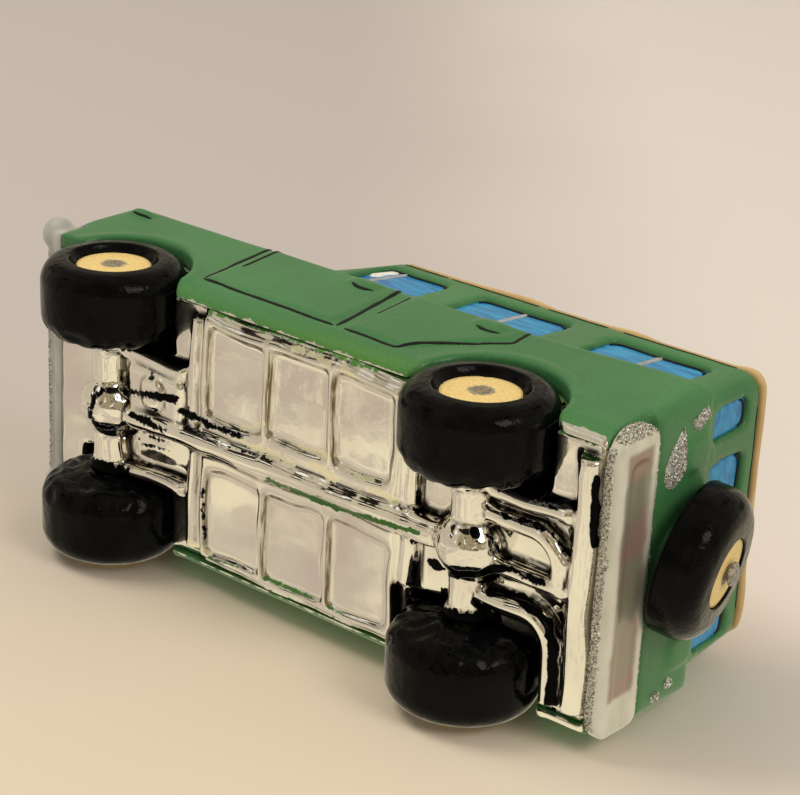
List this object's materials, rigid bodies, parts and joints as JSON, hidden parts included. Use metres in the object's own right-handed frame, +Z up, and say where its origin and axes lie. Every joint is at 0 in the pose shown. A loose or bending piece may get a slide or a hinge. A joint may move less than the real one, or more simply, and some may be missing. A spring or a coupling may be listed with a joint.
{
  "type": "toy sport-utility vehicle",
  "caption": "Boxy toy off-road vehicle with a lacquered body, mirrored underbody, rear-mounted spare wheel and freely turning road wheels.",
  "frame": {"origin": "on the ground, under the middle of the vehicle's length and width", "axes": "+X to the vehicle's left, +Y to its rear, +Z up"},
  "size_m": [0.0432, 0.1092, 0.0453],
  "materials": {
    "green_lacquer": "thick glossy green lacquer, brushed by hand",
    "cream_lacquer": "glossy cream lacquer",
    "blue_lacquer": "brushed blue lacquer over a silver ground",
    "silver_line": "pale silver paint line",
    "mirror_silver": "mirror silvering",
    "frosted_silver": "frosted silver with glitter along the edges",
    "glitter_silver": "silver glitter",
    "bare_steel": "steel with glitter on the heads",
    "black_lacquer": "thick glossy black lacquer",
    "gold_lacquer": "pale gold lacquer, fine grain"
  },
  "bodies": {
    "car": {"body_shell": "green_lacquer", "door_handles": "green_lacquer", "wing_repeaters": "green_lacquer", "roof_panel": "cream_lacquer", "windscreen": "blue_lacquer", "left_front_window": "blue_lacquer", "left_rear_window": "blue_lacquer", "left_quarter_window": "blue_lacquer", "right_front_window": "blue_lacquer", "right_rear_window": "blue_lacquer", "right_quarter_window": "blue_lacquer", "tailgate_window": "blue_lacquer", "rear_corner_windows": "blue_lacquer", "window_bars": "silver_line", "underbody": "mirror_silver", "propeller_shaft": "mirror_silver", "front_axle_tube": "mirror_silver", "rear_axle_tube": "mirror_silver", "front_radius_arms": "mirror_silver", "rear_trailing_arms": "mirror_silver", "exhaust_pipe": "mirror_silver", "transfer_case": "mirror_silver", "front_bumper": "frosted_silver", "rear_bumper": "frosted_silver", "grille": "frosted_silver", "headlamps": "frosted_silver", "front_indicators": "frosted_silver", "left_tail_lamps": "glitter_silver", "right_tail_lamps": "glitter_silver", "spare_carrier": "bare_steel", "front_axle_pin": "bare_steel", "rear_axle_pin": "bare_steel", "spare_tyre": "black_lacquer", "spare_hub": "gold_lacquer"},
    "front_left_wheel": {"front_left_tyre": "black_lacquer", "front_left_hub": "gold_lacquer"},
    "front_right_wheel": {"front_right_tyre": "black_lacquer", "front_right_hub": "gold_lacquer"},
    "rear_left_wheel": {"rear_left_tyre": "black_lacquer", "rear_left_hub": "gold_lacquer"},
    "rear_right_wheel": {"rear_right_tyre": "black_lacquer", "rear_right_hub": "gold_lacquer"}
  },
  "joints": [
    {"name": "front_left_wheel_spin", "type": "hinge", "parent": "car", "child": "front_left_wheel", "pos_m": [0.0154, -0.03529, 0.0097], "axis": [1, 0, 0], "continuous": true},
    {"name": "front_right_wheel_spin", "type": "hinge", "parent": "car", "child": "front_right_wheel", "pos_m": [-0.0154, -0.03529, 0.0097], "axis": [1, 0, 0], "continuous": true},
    {"name": "rear_left_wheel_spin", "type": "hinge", "parent": "car", "child": "rear_left_wheel", "pos_m": [0.0154, 0.02671, 0.0097], "axis": [1, 0, 0], "continuous": true},
    {"name": "rear_right_wheel_spin", "type": "hinge", "parent": "car", "child": "rear_right_wheel", "pos_m": [-0.0154, 0.02671, 0.0097], "axis": [1, 0, 0], "continuous": true}
  ]
}
